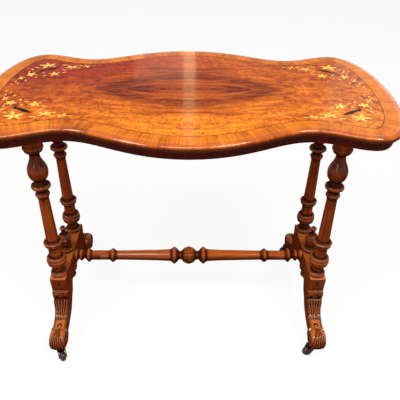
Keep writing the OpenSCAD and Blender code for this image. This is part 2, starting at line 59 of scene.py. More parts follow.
MM = 0.001
CORNERS = ["front_left", "front_right", "back_left", "back_right"]
SIDES = ["front", "back", "left", "right"]
ENDS = ["left", "right"]


# Colours and nodes

def tone(hex_value):
    """Linear RGBA of an sRGB hex colour."""
    parts = [int(hex_value[i:i + 2], 16) / 255 for i in (1, 3, 5)]
    linear = [p / 12.92 if p <= 0.04045 else ((p + 0.055) / 1.055) ** 2.4 for p in parts]
    return (*linear, 1.0)


def settle(tree, node, sockets):
    """Gives inputs of a node, by name or number, a value, an output to link, or a node's first output."""
    for key, value in sockets.items():
        if isinstance(value, bpy.types.Node):
            value = value.outputs[0]
        if isinstance(value, bpy.types.NodeSocket):
            tree.links.new(value, node.inputs[key])
        else:
            node.inputs[key].default_value = value


def fill(elements, stops):
    """Turns the elements of a colour ramp into (position, hex) stops."""
    while len(elements) < len(stops):
        elements.new(0.5)
    for element, (position, colour) in zip(elements, stops):
        element.position = position
        element.color = tone(colour)


def add(tree, kind, sockets=(), stops=(), **settings):
    """One node with its settings. sockets are its inputs, in their own order or by name or number."""
    node = tree.nodes.new("ShaderNode" + kind)
    for key, value in settings.items():
        setattr(node, key, value)
    if stops:
        fill(node.color_ramp.elements, stops)
    settle(tree, node, sockets if isinstance(sockets, dict) else dict(enumerate(sockets)))
    return node


def blank(holder):
    """The emptied node tree of a material or a world."""
    holder.use_nodes = True
    holder.node_tree.nodes.clear()
    return holder.node_tree


def begin(name):
    """An empty material, its tree and its shader."""
    material = bpy.data.materials.new(name)
    tree = blank(material)
    shader = add(tree, "BsdfPrincipled")
    add(tree, "OutputMaterial", {"Surface": shader})
    return material, tree, shader


def pattern(tree, vector, apart, detail=4.0, roughness=0.55, distortion=0.0):
    """Noise whose features lie apart mm from one another: one number, or one each for X, Y and Z."""
    scale = [1 / (size * MM) for size in np.broadcast_to(apart, 3)]
    drawn = add(tree, "Mapping", {"Vector": vector, "Scale": scale})
    shape = {"Detail": detail, "Roughness": roughness, "Distortion": distortion}
    return add(tree, "TexNoise", {"Vector": drawn, "Scale": 1.0, **shape})


def line(tree, off, width, strength):
    """A line where off is 0, which fades away at width."""
    away = add(tree, "Math", [off], operation="ABSOLUTE")
    return add(tree, "MapRange", [away, 0.0, width, strength, 0.0])


def upward(tree):
    """How far a face looks up: 1 on a top, 0 on a side, -1 on an underside."""
    normal = add(tree, "NewGeometry").outputs["Normal"]
    return add(tree, "SeparateXYZ", [normal]).outputs["Z"]


def seen_rays(tree):
    """1 for a ray from the camera, a reflection or glass, and 0 for one that only carries light."""
    path = add(tree, "LightPath").outputs
    shown = [path["Is Glossy Ray"], path["Is Transmission Ray"]]
    mirrored = add(tree, "Math", shown, operation="MAXIMUM")
    return add(tree, "Math", [path["Is Camera Ray"], mirrored], operation="MAXIMUM")


# Stain and polish

def stain(tree, colour, share, towards, mode="MIX"):
    """A colour turned towards another one by a share."""
    layers = {0: share, 6: colour, 7: towards}
    return add(tree, "Mix", layers, data_type="RGBA", blend_type=mode).outputs[2]


def french_polish(tree, shader, coat, haze=0.09):
    """Amber shellac rubbed on by hand: matt wood, with all of its shine in a thin clear coat."""
    settle(tree, shader, {"Roughness": 0.6, "Specular IOR Level": 0.0})
    settle(tree, shader, {"Coat Weight": coat, "Coat Roughness": haze, "Coat IOR": 1.5})


def emboss(tree, shader, height, depth):
    """Grain that stands depth metres high in the polish, and not in the outline."""
    relief = add(tree, "Bump", {"Strength": 0.6, "Distance": depth, "Height": height})
    settle(tree, shader, {"Normal": relief})


def rub_bright(tree, shader, low, high, faces, open_air=1.0):
    """Cloths and hands rub the upper sides bright, while undersides, sawn sides and grooves stay dull:
    the coat's weight goes from low to high as a face turns upwards over the range faces."""
    turned_up = add(tree, "MapRange", [upward(tree), *faces])
    rubbed = add(tree, "Math", [turned_up, open_air], operation="MULTIPLY")
    weight = add(tree, "Math", [rubbed, high - low, low], operation="MULTIPLY_ADD")
    settle(tree, shader, {"Coat Weight": weight})


def painted_hollow_shade(tree):
    """Painted shade in hollows, from 0 to nearly 1: in cuts, as the attribute hollow says, and in any
    corner between beads, as far as the open air of a point within 22 mm falls from 1 to 0.62."""
    cut = add(tree, "Attribute", attribute_name="hollow").outputs["Fac"]
    open_air = add(tree, "AmbientOcclusion", {"Distance": 22 * MM}, samples=4, only_local=True).outputs["AO"]
    corner = add(tree, "MapRange", [open_air, 1.0, 0.62, 0.0, 0.95])
    return add(tree, "Math", [cut, corner], operation="MAXIMUM")


# Woods. Their grain is drawn coarser than the real one, so that it shows

def burr_leaf(tree):
    """The coordinates of one veneer leaf, mirrored to all four: its X, its Y and its point."""
    # The height at which the leaves are cut from the noise
    slice_at = 0.37
    place = add(tree, "SeparateXYZ", [add(tree, "TexCoord").outputs["Object"]]).outputs
    along = add(tree, "Math", [place["X"]], operation="ABSOLUTE")
    across = add(tree, "Math", [place["Y"]], operation="ABSOLUTE")
    return along, across, add(tree, "CombineXYZ", [along, across, slice_at])


def burr_walnut():
    """Quarter-matched walnut veneer, french polished. A dark lens of straight streaks with sharp ends
    lies along the middle joint, lobes of burr fill both ends, and all is mirrored about both joints."""
    lens_end = 222 * MM
    lens_taper, taper_power = 115 * MM, 1.7
    lens_edge = (165 * MM, 95 * MM)
    lobe_at = (325 * MM, 105 * MM)
    lobe_edge = (112 * MM, 100 * MM)
    lobe_rim = 108 * MM
    material, tree, shader = begin("burr_walnut_veneer")
    along, across, leaf = burr_leaf(tree)
    wander = pattern(tree, leaf, (100, 45.45, 1000))
    wander = add(tree, "Math", [wander, 100 * MM, -50 * MM], operation="MULTIPLY_ADD")
    # The lens narrows in a straight line to a sharp end on the joint
    to_end = add(tree, "Math", [along, lens_end], operation="DIVIDE")
    to_end = add(tree, "Math", [to_end, taper_power], operation="POWER")
    narrowing = add(tree, "Math", [to_end, lens_taper], operation="MULTIPLY")
    nested = add(tree, "Math", [across, narrowing], operation="ADD")
    nested = add(tree, "Math", [nested, wander], operation="ADD")
    lens = add(tree, "MapRange", [nested, *lens_edge], interpolation_type="SMOOTHSTEP")
    # Streaks run nearly straight along the lens, 22 times as long as wide, and bend outwards beyond it
    bend = add(tree, "Math", [narrowing, 0.35, across], operation="MULTIPLY_ADD")
    bend = add(tree, "Math", [wander, 0.5, bend], operation="MULTIPLY_ADD")
    drawn_out = add(tree, "Math", [along, 0.045], operation="MULTIPLY")
    streak = pattern(tree, add(tree, "CombineXYZ", [drawn_out, bend, 0.0]), 12.82, 8.0, 0.78, 0.4)
    # Lobes of burr towards the ends
    swirl = pattern(tree, leaf, 45.45, 8.0, 0.7, 1.6)
    off_x = add(tree, "Math", [along, lobe_at[0]], operation="SUBTRACT")
    off_y = add(tree, "Math", [across, lobe_at[1]], operation="SUBTRACT")
    off_lobe = add(tree, "CombineXYZ", [off_x, off_y, 0.0])
    from_lobe = add(tree, "VectorMath", [off_lobe], operation="LENGTH").outputs["Value"]
    ragged = pattern(tree, leaf, 83.33, 5.0, 0.6, 0.8)
    ragged = add(tree, "Math", [ragged, 110 * MM, -55 * MM], operation="MULTIPLY_ADD")
    from_lobe = add(tree, "Math", [from_lobe, ragged], operation="ADD")
    lobe = add(tree, "MapRange", [from_lobe, *lobe_edge], interpolation_type="SMOOTHSTEP")
    outer = pattern(tree, leaf, 111.1, 2.0)
    outer = add(tree, "Math", [outer, 140 * MM, -70 * MM], operation="MULTIPLY_ADD")
    outer = add(tree, "Math", [along, outer], operation="ADD")
    end = add(tree, "MapRange", [outer, 220 * MM, 300 * MM], interpolation_type="SMOOTHSTEP")
    end = add(tree, "Math", [end, lobe], operation="MAXIMUM")
    figure = add(tree, "Mix", {0: end, 2: streak, 3: swirl}, data_type="FLOAT")
    drift = pattern(tree, leaf, (142.9, 35.71, 1000), 4.0, 0.6, 1.0)
    drift = add(tree, "Math", [drift, 0.5, -0.25], operation="MULTIPLY_ADD")
    figure = add(tree, "Math", [figure, drift], operation="ADD")
    light = add(tree, "ValToRGB", [figure], [(0.26, "#5A1E08"), (0.38, "#92400E"), (0.47, "#CC6A18"),
                                             (0.57, "#E88720"), (0.74, "#F8A434")])
    dark = add(tree, "ValToRGB", [figure], [(0.34, "#2E0C04"), (0.44, "#6A280B"), (0.52, "#A84E14"),
                                            (0.62, "#CE6C1C"), (0.78, "#E08026")])
    colour = stain(tree, light, add(tree, "Math", [lens, 0.92], operation="MULTIPLY"), dark)
    colour = stain(tree, colour, add(tree, "Math", [lobe, 0.18], operation="MULTIPLY"), tone("#B4561C"))
    # Dark outlines of the lobes, and the two dark lines that meet at each end of the lens
    rim = line(tree, add(tree, "Math", [from_lobe, lobe_rim], operation="SUBTRACT"), 4 * MM, 0.6)
    slope = add(tree, "Math", [lens_end, along], operation="SUBTRACT")
    slope = add(tree, "Math", [slope, 0.55], operation="MULTIPLY")
    off_slope = add(tree, "Math", [wander, 0.3, across], operation="MULTIPLY_ADD")
    off_slope = add(tree, "Math", [off_slope, slope], operation="SUBTRACT")
    near_joint = add(tree, "MapRange", [across, 75 * MM, 10 * MM])
    tip = add(tree, "Math", [line(tree, off_slope, 7 * MM, 0.75), near_joint], operation="MULTIPLY")
    colour = stain(tree, colour, add(tree, "Math", [rim, tip], operation="MAXIMUM"), tone("#5A200A"))
    # Thin dark curls between the streaks and the lobes
    curl = add(tree, "Math", [pattern(tree, leaf, 71.43, 6.0, 0.66, 2.0), 0.5], operation="SUBTRACT")
    beyond = add(tree, "MapRange", [nested, 70 * MM, 130 * MM])
    vein = add(tree, "Math", [line(tree, curl, 0.02, 0.9), beyond], operation="MULTIPLY")
    colour = stain(tree, colour, vein, tone("#7A3210"))
    # Open pores, 1.6 mm apart across the grain
    pores = pattern(tree, leaf, (16.67, 1.613, 1000), 2.0, 0.6)
    in_pore = add(tree, "MapRange", [pores, 0.57, 0.7, 0.0, 0.34])
    colour = stain(tree, colour, in_pore, tone("#501C08"))
    # Fine ripple across the grain
    ripple = pattern(tree, leaf, (4.167, 33.33, 1000), 2.0, 0.5)
    ripple = add(tree, "MapRange", [ripple, 0.45, 0.7, 0.0, 0.34])
    colour = stain(tree, colour, ripple, tone("#984416"))
    # Painted shade: the veneer is darker and redder towards the back and the left end of the top
    colour = stain(tree, colour, painted_shade_back_left(tree), tone("#B86840"), "MULTIPLY")
    settle(tree, shader, {"Base Color": colour})
    french_polish(tree, shader, 0.28)
    emboss(tree, shader, pores, 0.05 * MM)
    return material


def painted_shade_back_left(tree):
    """Painted shade: how much darker and redder the veneer is painted towards the back and the left end."""
    place = add(tree, "SeparateXYZ", [add(tree, "TexCoord").outputs["Object"]]).outputs
    back = add(tree, "MapRange", [place["Y"], -200 * MM, 160 * MM])
    left = add(tree, "MapRange", [place["X"], 150 * MM, -320 * MM])
    at_back = add(tree, "Math", [left, 0.55, 0.6], operation="MULTIPLY_ADD")
    at_front = add(tree, "Math", [left, 0.1], operation="MULTIPLY")
    return add(tree, "Math", [at_back, back, at_front], operation="MULTIPLY_ADD")


def edge_wood(name, light, mid, dark, contrast=1.0, low_shade=0.0):
    """Walnut laid across the edge in pieces 85 mm long: the grain lines point out of the table. The map
    runs round the outline in U and inwards in V. low_shade is how much painted shade darkens the underside."""
    piece_length = 85 * MM
    edge_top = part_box("edge_moulding_front")[1][2]
    lit_above, shaded_below = edge_top - 1.5 * MM, edge_top - 8.5 * MM
    material, tree, shader = begin(name)
    place = add(tree, "UVMap", uv_map="round")
    round_edge = add(tree, "SeparateXYZ", [place]).outputs["X"]
    grain = pattern(tree, place, (5.882, 90.91, 1000), 5.0, 0.62, 0.9)
    cloud = pattern(tree, place, 38.46, 3.0)
    piece = add(tree, "Math", [round_edge, piece_length], operation="DIVIDE")
    piece = add(tree, "Math", [piece], operation="FLOOR")
    shift = add(tree, "TexWhiteNoise", {"W": piece}, noise_dimensions="1D")
    factor = add(tree, "Math", [grain, 0.5], operation="SUBTRACT")
    factor = add(tree, "Math", [factor, 0.6 * contrast, 0.5], operation="MULTIPLY_ADD")
    for value, reach in ((cloud, 0.5), (shift, 0.06)):
        centred = add(tree, "Math", [value, reach, -reach / 2], operation="MULTIPLY_ADD")
        factor = add(tree, "Math", [factor, centred], operation="ADD")
    colour = add(tree, "ValToRGB", [factor], [(0.34, dark), (0.5, mid), (0.66, light)])
    to_joint = add(tree, "Math", [round_edge, piece_length / 2], operation="PINGPONG")
    colour = stain(tree, colour, line(tree, to_joint, 0.6 * MM, 0.5), tone(dark))
    # Painted shade: below lit_above the moulding darkens towards #2C0B04, fully at shaded_below
    height = add(tree, "SeparateXYZ", [add(tree, "TexCoord").outputs["Object"]]).outputs["Z"]
    shaded = [height, lit_above, shaded_below, 0.0, low_shade]
    shade = add(tree, "MapRange", shaded, interpolation_type="SMOOTHSTEP")
    colour = stain(tree, colour, shade, tone("#2C0B04"))
    settle(tree, shader, {"Base Color": colour})
    french_polish(tree, shader, 0.26)
    if low_shade:
        rub_bright(tree, shader, 0.08, 0.9, (0.35, 0.75))
    emboss(tree, shader, grain, 0.04 * MM)
    return material


def turned_walnut(name, grain_axis, light, mid, dark, painted_top_light, shade=(0.15, -0.45)):
    """Solid walnut turned or carved, stained and polished: long grain, with painted light on its upper
    faces, painted shade below, as a face turns down over the range shade, and painted shade nearly black in
    hollows."""
    along_grain, across_grain = 200, 10.53
    apart = [across_grain] * 3
    apart["XYZ".index(grain_axis)] = along_grain
    material, tree, shader = begin(name)
    place = add(tree, "TexCoord").outputs["Object"]
    grain = pattern(tree, place, apart, 5.0, 0.6, 0.6)
    cloud = add(tree, "Math", [pattern(tree, place, 62.5, 3.0), 0.3], operation="MULTIPLY")
    factor = add(tree, "Math", [grain, 0.7, cloud], operation="MULTIPLY_ADD")
    colour = add(tree, "ValToRGB", [factor], [(0.26, dark), (0.46, mid), (0.7, light)])
    up = upward(tree)
    # Painted light and shade: upper faces turn to the lighter tone, faces turning down to the dark one
    colour = stain(tree, colour, add(tree, "MapRange", [up, 0.25, 0.9, 0.0, 0.75]), tone(painted_top_light))
    colour = stain(tree, colour, add(tree, "MapRange", [up, *shade, 0.0, 0.9]), tone(dark))
    # Painted shade, nearly black, in cuts and in the corners beside beads
    hollow_shade = painted_hollow_shade(tree)
    colour = stain(tree, colour, hollow_shade, tone("#1E0803"))
    settle(tree, shader, {"Base Color": colour})
    # The polish shines on open faces that look at the eye, and not at their rims
    to_eye = add(tree, "MapRange", [add(tree, "LayerWeight").outputs["Facing"], 0.75, 0.4])
    open_air = add(tree, "Math", [1.0, hollow_shade], operation="SUBTRACT")
    open_air = add(tree, "Math", [open_air, to_eye], operation="MULTIPLY")
    if grain_axis == "X":
        # The right half of the stretcher has lost most of its shine
        x = add(tree, "SeparateXYZ", [place]).outputs["X"]
        shine = add(tree, "MapRange", [x, 30 * MM, -30 * MM, 0.35, 1.0])
        open_air = add(tree, "Math", [open_air, shine], operation="MULTIPLY")
    french_polish(tree, shader, 0.5, 0.11)
    rub_bright(tree, shader, 0.0, 0.85, (0.0, 0.65), open_air)
    emboss(tree, shader, grain, 0.05 * MM)
    return material


def plain_material(name, stops, apart, **noise):
    """A material whose colour follows one pattern alone: its ramp, and the pattern's size and noise."""
    material, tree, shader = begin(name)
    figure = pattern(tree, add(tree, "TexCoord").outputs["Object"], apart, **noise)
    settle(tree, shader, {"Base Color": add(tree, "ValToRGB", [figure], stops)})
    return material, tree, shader, figure


def frieze_walnut():
    """Straight walnut veneer on the frieze: its own dark tone, with painted shade of the moulding above it,
    nearly black.
    """
    # Dark walnut tones, with painted shade of the moulding above that makes them nearly black
    stops = [(0.3, "#340D05"), (0.52, "#440F06"), (0.74, "#521607")]
    apart = (9.091, 9.091, 125)
    material, tree, shader, _ = plain_material("walnut_frieze", stops, apart, roughness=0.6)
    french_polish(tree, shader, 0.08)
    return material


def boxwood():
    """Boxwood inlay under the same polish: pale yellow, with patches of scorched shading."""
    stops = [(0.36, "#B4722A"), (0.46, "#E2AC46"), (0.58, "#F4CE62"), (0.74, "#FBE08A")]
    material, tree, shader, _ = plain_material("boxwood", stops, 5.263, detail=2.0)
    french_polish(tree, shader, 0.28)
    return material


def dark_inlay(name):
    """Ebony, or pear wood dyed black: almost no figure, kept from pure black by the polish."""
    stops = [(0.35, "#140A08"), (0.7, "#2C1610")]
    material, tree, shader, _ = plain_material(name, stops, 3.846, detail=2.0)
    french_polish(tree, shader, 0.2)
    return material


def bare_wood(name, light, dark):
    """Planed softwood or turned beech that was never polished, gone grey-brown with age."""
    stops = [(0.35, dark), (0.65, light)]
    apart = (111.1, 8.333, 8.333)
    material, tree, shader, grain = plain_material(name, stops, apart, roughness=0.6, distortion=0.5)
    settle(tree, shader, {"Roughness": 0.7})
    emboss(tree, shader, grain, 0.2 * MM)
    return material


# Metal and pottery of the casters

def tarnished_brass():
    """Cast brass gone brown with age, brighter and smoother where it is rubbed."""
    stops = [(0.35, "#140C08"), (0.55, "#26180C"), (0.75, "#48321C")]
    material, tree, shader, patch = plain_material("tarnished_brass", stops, 4.167)
    rough = add(tree, "MapRange", [patch, 0.0, 1.0, 0.5, 0.28])
    settle(tree, shader, {"Roughness": rough, "Metallic": 1.0})
    return material


def dull_steel():
    """Drawn steel of screws and axles, oiled and dull."""
    stops = [(0.4, "#34312E"), (0.7, "#5E5A54")]
    material, tree, shader, _ = plain_material("dull_steel", stops, 3.333, detail=3.0)
    settle(tree, shader, {"Metallic": 1.0, "Roughness": 0.4})
    return material


def glazed_pottery():
    """Dark brown glazed pottery of the wheels: a glassy coat over a mottled brown body."""
    stops = [(0.35, "#2A1714"), (0.6, "#482A26"), (0.8, "#6A4640")]
    material, tree, shader, _ = plain_material("glazed_pottery", stops, 6.667)
    settle(tree, shader, {"Roughness": 0.4, "Specular IOR Level": 0.0})
    settle(tree, shader, {"Coat Weight": 0.4, "Coat Roughness": 0.1, "Coat IOR": 1.5})
    return material


FINISH = {
    "burr_walnut_veneer": burr_walnut(),
    "walnut_crossband": edge_wood("walnut_crossband", "#D67C22", "#C0681A", "#8E420E"),
    # The moulding's last number is how much painted shade darkens its underside
    "walnut_moulding": edge_wood("walnut_moulding", "#CC6E22", "#B25616", "#7A330C", 0.7, 0.92),
    "walnut_frieze": frieze_walnut(),
    # The last colour of each turned wood is its painted top light; shade is the range of its painted shade
    "walnut_turned": turned_walnut("walnut_turned", "Z", "#9A4516", "#722F0E", "#361305", "#A85826"),
    "walnut_stretcher": turned_walnut("walnut_stretcher", "X", "#B4561C", "#7E3610", "#3E1404", "#C4601C",
                                      shade=(0.55, -0.1)),
    "walnut_carved": turned_walnut("walnut_carved", "Z", "#874019", "#662B10", "#3A1506", "#BE662E"),
    "ebonised_line": dark_inlay("ebonised_line"),
    "ebony": dark_inlay("ebony"),
    "boxwood": boxwood(),
    "ground_pine": bare_wood("ground_pine", "#A98258", "#7C5A38"),
    "beech": bare_wood("beech", "#C79C70", "#A87C52"),
    "brass": tarnished_brass(),
    "steel": dull_steel(),
    "brown_pottery": glazed_pottery(),
}


def dress(piece, finish):
    piece.data.materials.clear()
    piece.data.materials.append(FINISH[finish])


for name, piece in nodes.items():
    dress(piece, slot_of[name])


# Pieces that stand for CAD nodes

def only(piece):
    """piece alone is selected and active."""
    bpy.ops.object.select_all(action="DESELECT")
    piece.select_set(True)
    bpy.context.view_layer.objects.active = piece


def copy_of(node, name):
    """A copy of a CAD node with its loose triangles welded, to be worked on."""
    piece = nodes[node].copy()
    piece.data = nodes[node].data.copy()
    piece.name = name
    piece.data.name = name
    # The tags that mark a CAD node stay off its copy
    for key in list(piece.keys()):
        del piece[key]
    piece.parent = None
    bpy.context.scene.collection.objects.link(piece)
    only(piece)
    bpy.ops.object.mode_set(mode="EDIT")
    bpy.ops.mesh.select_all(action="SELECT")
    bpy.ops.mesh.remove_doubles(threshold=0.01 * MM)
    bpy.ops.object.mode_set(mode="OBJECT")
    return piece


def points(piece, what="co"):
    """The points of a mesh, one to a row, in metres, or their normals where what is normal."""
    values = np.empty(len(piece.data.vertices) * 3)
    piece.data.vertices.foreach_get(what, values)
    return values.reshape(-1, 3)


def smooth(piece, degrees):
    """Smooth shading, but for edges sharper than the angle."""
    only(piece)
    bpy.ops.object.shade_smooth_by_angle(angle=math.radians(degrees))


def stand_for(piece, node, finish):
    """Gives a new piece its finish and its body, and hides the node that it stands for."""
    dress(piece, finish)
    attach(piece, "table")
    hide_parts(node)


# Border and moulded edge, with a map that follows the outline of the top

# The ground board's outline as a closed line: its points, its runs, their lengths and the way to each
board = points(nodes["top_ground"])
board = board[board[:, 2] > board[:, 2].max() - 0.1 * MM][:, :2]
board = np.unique(np.round(board, 5), axis=0)
board = board[np.argsort(np.arctan2(board[:, 1], board[:, 0]))]
board_run = np.roll(board, -1, axis=0) - board
board_length = np.linalg.norm(board_run, axis=1)
board_along = np.concatenate([[0], np.cumsum(board_length)[:-1]])


def round_map(piece):
    """UV map "round", in metres: the way round the ground board's outline, and the way inwards from it."""
    co = points(piece)[:, :2]
    gap = co[:, None, :] - board[None]
    share = np.clip((gap * board_run).sum(2) / (board_length ** 2), 0, 1)
    foot = board[None] + share[..., None] * board_run
    away = np.linalg.norm(co[:, None, :] - foot, axis=2)
    best = away.argmin(axis=1)
    rows = np.arange(len(co))
    u = board_along[best] + share[rows, best] * board_length[best]
    v = away[rows, best]
    corner = np.empty(len(piece.data.loops), int)
    piece.data.loops.foreach_get("vertex_index", corner)
    uv = np.stack([u[corner], v[corner]], axis=1)
    # A face that crosses the start of the outline keeps its corners on one side of it
    total = board_length.sum()
    for face in piece.data.polygons:
        around = slice(face.loop_start, face.loop_start + face.loop_total)
        if np.ptp(uv[around, 0]) > total / 2:
            uv[around, 0] = np.where(uv[around, 0] < total / 2, uv[around, 0] + total, uv[around, 0])
    piece.data.uv_layers.new(name="round").data.foreach_set("uv", uv.ravel())


def border():
    piece = copy_of("crossbanding", "border")
    round_map(piece)
    stand_for(piece, "crossbanding", "walnut_crossband")


def moulded_edge(side):
    piece = copy_of("edge_moulding_" + side, "moulded_edge_" + side)
    round_map(piece)
    smooth(piece, 35)
    stand_for(piece, "edge_moulding_" + side, "walnut_moulding")


border()
for side in SIDES:
    moulded_edge(side)


# Turning and carving: a copy is remeshed finely, and its points sink by the depth of its carving.
# The carving works in millimetres, and hands its depth back in metres

# The most that painted shade darkens a hollow, as a share
DARKEST = 0.85


def step(x, low, high):
    """0 below low, 1 above high, and a soft rise between them."""
    share = np.clip((x - low) / (high - low), 0, 1)
    return share * share * (3 - 2 * share)


def beside_beads(co, axis):
    """How much painted shade darkens each point of a turning, from how far it lies below the highest
    bead nearby along the axis."""
    nearby, shallow, fall = 6, 0.8, 5
    middle = (co.max(axis=0) + co.min(axis=0)) / 2
    across = np.delete(co - middle, axis, axis=1) / MM
    radius = np.hypot(across[:, 0], across[:, 1])
    place = np.round((co[:, axis] - co[:, axis].min()) / MM).astype(int)
    profile = np.zeros(place.max() + 1)
    np.maximum.at(profile, place, radius)
    crest = np.max([np.roll(profile, shift) for shift in range(-nearby, nearby + 1)], axis=0)
    return np.clip((crest[place] - radius - shallow) / fall, 0, DARKEST)


def worked_copy(node, name, grid, carving=None, shape=None, axis=None):
    """A copy of a node remeshed at grid mm, cut to the carving's depth along its normals, and shaped.
    A turning, which gives its axis, is sanded first, as on the lathe: that takes the remesh's ripple
    away. The attribute hollow holds the painted shade of its cuts and of the dips beside its beads."""
    deep_cut = 2.6 * MM
    sanding_rounds = 6
    piece = copy_of(node, name)
    piece.data.remesh_voxel_size = grid * MM
    only(piece)
    bpy.ops.object.voxel_remesh()
    if axis is not None:
        piece.modifiers.new("sanded", "SMOOTH").iterations = sanding_rounds
        bpy.ops.object.modifier_apply(modifier="sanded")
    co = points(piece)
    normal = points(piece, "normal")
    depth = carving(co, normal) if carving else np.zeros(len(co))
    co = co - normal * depth[:, None]
    if shape:
        co = shape(co)
    low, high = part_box(node)
    co = np.clip(co, np.array(low), np.array(high))
    piece.data.vertices.foreach_set("co", co.ravel())
    # Painted shade in the carving's cuts, darker the deeper the cut, and in the dips beside a turning's
    # beads
    hollow_shade = np.clip(depth / deep_cut, 0, DARKEST)
    if axis is not None:
        hollow_shade = np.maximum(hollow_shade, beside_beads(co, axis))
    piece.data.attributes.new("hollow", "FLOAT", "POINT").data.foreach_set("value", hollow_shade)
    piece.data.update()
    smooth(piece, 60)
    return piece


def grooves(place, keenness):
    """Grooves 8.4 mm apart on both sides of a rib at 0: 0 on a rib and 1 in a groove."""
    pitch = 8.4
    return (0.5 + 0.5 * np.cos(2 * np.pi * (place / pitch - 0.5))) ** keenness


def crescent(away, radius):
    """A cut along a circle, 1 deep at its middle, for points that lie away from the circle's centre."""
    return np.clip(1.3 - np.abs(away - radius) / 2, 0, 1)


# Legs, in millimetres. The ledge under the apron and the axis of the toe are measured from the leg's
# top, from its sole and from its joint with the centre block

LEG_LOW, LEG_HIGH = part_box("leg_front_left")
BLOCK_TOP = LEG_HIGH[2] / MM
SOLE_Z = LEG_LOW[2] / MM
JOINT_Y = -LEG_HIGH[1] / MM
LEDGE_Y = JOINT_Y + 94
LEDGE_Z = BLOCK_TOP - 80
TOE_Y = JOINT_Y + 177
TOE_Z = SOLE_Z + 19
TOE_R = 28.5
# Where the tongue meets the toe, in degrees round the toe's axis
TOE_START = 140
COLUMN_X = (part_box("finial_right")[0][0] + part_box("finial_right")[1][0]) / 2 / MM


def leg_taper(co):
    """Narrows a leg by a sixth from its ledge down to its ankle. The toe keeps its width."""
    d = np.abs(co[:, 1]) / MM
    z = co[:, 2] / MM
    toe = step(TOE_R + 5 - np.hypot(z - TOE_Z, d - TOE_Y), 0, 4)
    sixth, to_ankle = 0.17, 38
    share = 1 - sixth * step(LEDGE_Z - z, 0, to_ankle) * (1 - toe)
    middle = math.copysign(COLUMN_X * MM, co[0, 0])
    tapered = co.copy()
    tapered[:, 0] = middle + (co[:, 0] - middle) * share
    return tapered


def block_flower(u, d, z):
    """Flower of six thin petals in the face of the block."""
    centre_z, block_end = BLOCK_TOP - 23, BLOCK_TOP - 44
    petal_length, cut = 11, 1.8
    rise = z - centre_z
    petal = petal_length * np.abs(np.cos(3 * np.arctan2(rise, u))) ** 2.4
    on_block = (d > LEDGE_Y - 14) & (z > block_end)
    return on_block * cut * np.clip((petal - np.hypot(u, rise)) / 1.6, 0, 1)


def apron(u, d, z):
    """Apron under the block: cut back below a lobed edge, with a small crescent in its face."""
    apron_top, crescent_z, edge_z = BLOCK_TOP - 47, LEDGE_Z + 14, LEDGE_Z + 4
    lobe_at, lobe_width, lobe_rise = 11.5, 2.6, 15
    crescent_r, cut = 6, 2.2
    here = (z <= apron_top) & (z > LEDGE_Z) & (d < LEDGE_Y + 8)
    lobe = lobe_rise * np.exp(-((np.abs(u) - lobe_at) / lobe_width) ** 2)
    edge = edge_z + lobe + 5 * step(np.abs(u), 17, 21)
    mark = (z > crescent_z) * crescent(np.hypot(u, z - crescent_z), crescent_r)
    return here * cut * (step(edge - z, -1, 1) + mark)


def acanthus_leaf(u, t, z):
    """Leaf whose veins draw together down the leg, with a scalloped margin, t out from the ledge."""
    half, narrowing, scallop_pitch = 21, 8, 7
    vein_cut, margin_cut = 3.0, 1.9
    down = LEDGE_Z - z
    drawn_in = 1 - 0.48 * np.clip(down / 46, 0, 1) ** 1.2
    vein = np.abs(u) / drawn_in
    scallop = 1.4 * np.cos(2 * np.pi * down / scallop_pitch)
    margin = half - narrowing * np.clip(t / 40, 0, 1) ** 1.5 + scallop
    veins = vein_cut * grooves(vein, 2.4) * (vein < half)
    return veins + margin_cut * step(np.abs(u), margin - 1, margin + 1)


def tongue(u, t):
    """Smooth tongue between leaf and toe: its sides drop away, with a crescent notch."""
    notch_at, notch_r = 53, 6
    side_cut, notch_cut = 1.5, 2.6
    notch = (t < notch_at + 2) * notch_cut * crescent(np.hypot(u, t - notch_at), notch_r)
    return side_cut * step(np.abs(u), 14, 17) + notch


def toe_lobes(u, turn):
    """Lobes that fan over the toe from the end of the tongue, by the angle turn in degrees."""
    whole_fan, fan_half, cut = 235 * 0.72, 26, 2.8
    spread = np.clip((TOE_START - turn) / whole_fan, 0.08, 1) ** 0.8
    fan = np.abs(u / spread)
    return cut * grooves(fan, 2.6) * (fan < fan_half)


def leg_carving(co, normal):
    """Depth of the carving on a leg: u is the way across it, d out from the middle of the table."""
    leaf_length = 38
    u = np.abs(co[:, 0]) / MM - COLUMN_X
    d = np.abs(co[:, 1]) / MM
    z = co[:, 2] / MM
    t = d - LEDGE_Y
    out = normal[:, 1] * np.sign(co[:, 1])
    roll = np.hypot(z - TOE_Z, d - TOE_Y)
    turn = np.degrees(np.arctan2(z - TOE_Z, d - TOE_Y))
    below = (z <= LEDGE_Z) & (roll > TOE_R + 1)
    leaf = step(leaf_length - t, 0, 5)
    depth = block_flower(u, d, z) + apron(u, d, z)
    depth += below * (leaf * acanthus_leaf(u, t, z) + (1 - leaf) * tongue(u, t))
    on_toe = step(roll, 17, 20) * (roll < TOE_R + 1) * (turn < TOE_START) * (z > SOLE_Z + 0.6)
    depth += on_toe * toe_lobes(u, turn)
    # Only the faces that a carver reaches from the front are cut
    front = step(out * 0.8 + normal[:, 2] * 0.6, 0.15, 0.45) * (z < BLOCK_TOP - 3)
    toe_front = step(np.hypot(out, normal[:, 2]), 0.45, 0.8)
    return depth * np.where(on_toe > 0, toe_front, front) * MM


# Finials and pendants

def from_axis(co):
    """The points of a finial or pendant, measured from its own axis and from the top of the block."""
    x = (co[:, 0] - math.copysign(COLUMN_X * MM, co[0, 0])) / MM
    return x, co[:, 1] / MM, co[:, 2] / MM - BLOCK_TOP


